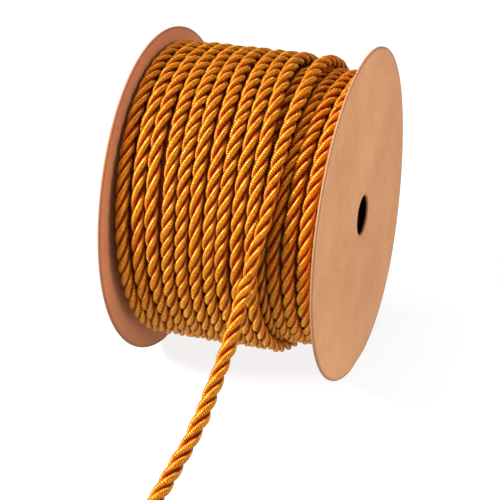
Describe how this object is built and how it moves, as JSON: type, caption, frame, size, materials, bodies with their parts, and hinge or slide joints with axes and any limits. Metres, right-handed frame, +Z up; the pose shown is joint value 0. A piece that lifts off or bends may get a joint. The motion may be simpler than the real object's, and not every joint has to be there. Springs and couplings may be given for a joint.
{
  "type": "decorative cord on a reel",
  "caption": "Twisted decorative cord wound on a round board reel, with its loose end coming off the front and resting on the surface.",
  "frame": {"origin": "on the surface that the reel stands on, under the middle of its box", "axes": "+X along the reel's axis towards the flange that faces the picture, -Y towards the pictured side, +Z up"},
  "size_m": [0.0656, 0.1861, 0.0995],
  "materials": {
    "board": "plain brown fibre board, matte",
    "cord": "golden satin twisted cord"
  },
  "bodies": {
    "root": {"flange_left": "board", "flange_right": "board", "winding": "cord", "loose_end": "cord"}
  },
  "joints": []
}
